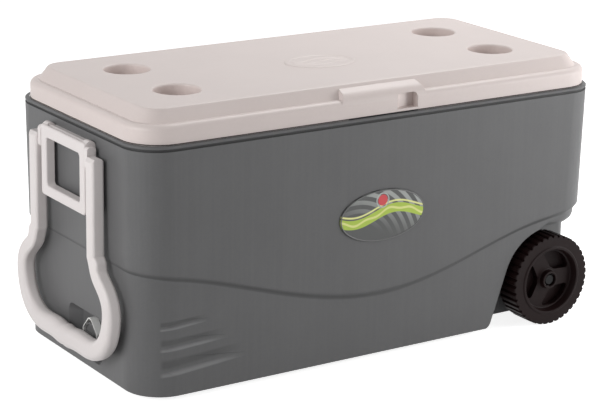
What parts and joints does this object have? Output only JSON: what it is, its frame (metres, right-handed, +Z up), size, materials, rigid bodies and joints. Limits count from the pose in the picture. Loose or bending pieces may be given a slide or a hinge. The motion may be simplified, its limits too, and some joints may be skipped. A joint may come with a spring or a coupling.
{
  "type": "wheeled cooler",
  "caption": "Hard-sided insulated cooler with a hinged lid, cup wells in the lid, swing-up lift handles, a folding tow handle, wheels under one end and a drain.",
  "frame": {"origin": "centre of the whole cooler's footprint box, on the floor", "axes": "+Z up, +X along the box towards the wheels, -Y the front with the badge, +Y the side with the lid hinges"},
  "size_m": [0.95, 0.4582, 0.4676],
  "materials": {
    "body_grey": "satin",
    "liner_white": "gloss",
    "lid_white": "satin",
    "foam": "matte",
    "drain_grey": "satin",
    "drain_cap_grey": "satin",
    "tether_white": "gloss",
    "gasket_rubber": "matte",
    "badge_print": "gloss",
    "wheel_black": "satin",
    "hinge_white": "satin",
    "steel": "brushed",
    "axle_cap_steel": "satin",
    "screw_steel": "satin",
    "handle_white": "satin"
  },
  "bodies": {
    "box": {"outer_shell": "body_grey", "inner_liner": "liner_white", "insulation_foam": "foam", "drain_spigot": "drain_grey", "drain_gasket": "gasket_rubber", "drain_nut": "drain_grey", "drain_tether": "tether_white", "badge_oval": "badge_print", "hinge_body_leaf_left": "hinge_white", "hinge_body_leaf_right": "hinge_white", "hinge_pin_left": "steel", "hinge_pin_right": "steel", "axle": "steel", "washer_inner_front": "steel", "washer_outer_front": "steel", "washer_inner_back": "steel", "washer_outer_back": "steel", "axle_cap_front": "axle_cap_steel", "axle_cap_back": "axle_cap_steel", "tow_bracket_screws": "screw_steel", "wheel_end_bracket_screws": "screw_steel", "hinge_body_screws": "screw_steel", "tow_bracket": "handle_white", "tow_hinge_pin": "steel", "wheel_end_bracket": "handle_white", "wheel_end_hinge_pin": "steel"},
    "lid": {"lid_shell": "lid_white", "lid_liner": "liner_white", "lid_foam": "foam", "hinge_lid_leaf_left": "hinge_white", "hinge_lid_leaf_right": "hinge_white", "hinge_lid_screws": "screw_steel"},
    "tow_lift": {"tow_end_lift_handle": "handle_white", "tow_pin_front": "steel", "tow_pin_back": "steel"},
    "tow": {"tow_handle": "handle_white"},
    "wheel_end_lift": {"wheel_end_lift_handle": "handle_white"},
    "wheel_front_body": {"wheel_front": "wheel_black"},
    "wheel_back_body": {"wheel_back": "wheel_black"},
    "cap": {"drain_cap": "drain_cap_grey"}
  },
  "joints": [
    {"name": "lid_hinge", "type": "hinge", "parent": "box", "child": "lid", "pos_m": [0.00425, 0.2239, 0.42], "axis": [-1, 0, 0], "range_deg": [0, 100]},
    {"name": "tow_lift_hinge", "type": "hinge", "parent": "box", "child": "tow_lift", "pos_m": [-0.45508, -0.0011, 0.391], "axis": [0, 1, 0], "range_deg": [0, 90]},
    {"name": "tow_hinge", "type": "hinge", "parent": "tow_lift", "child": "tow", "pos_m": [-0.46048, -0.0011, 0.368], "axis": [0, 1, 0], "range_deg": [0, 90]},
    {"name": "wheel_end_lift_hinge", "type": "hinge", "parent": "box", "child": "wheel_end_lift", "pos_m": [0.46358, -0.0011, 0.391], "axis": [0, -1, 0], "range_deg": [0, 90]},
    {"name": "wheel_front_spin", "type": "hinge", "parent": "box", "child": "wheel_front_body", "pos_m": [0.35925, -0.1981, 0.08], "axis": [0, 1, 0], "continuous": true},
    {"name": "wheel_back_spin", "type": "hinge", "parent": "box", "child": "wheel_back_body", "pos_m": [0.35925, 0.1959, 0.08], "axis": [0, 1, 0], "continuous": true},
    {"name": "drain_cap_turn", "type": "hinge", "parent": "box", "child": "cap", "pos_m": [-0.43075, -0.0371, 0.069], "axis": [1, 0, 0], "continuous": true}
  ]
}
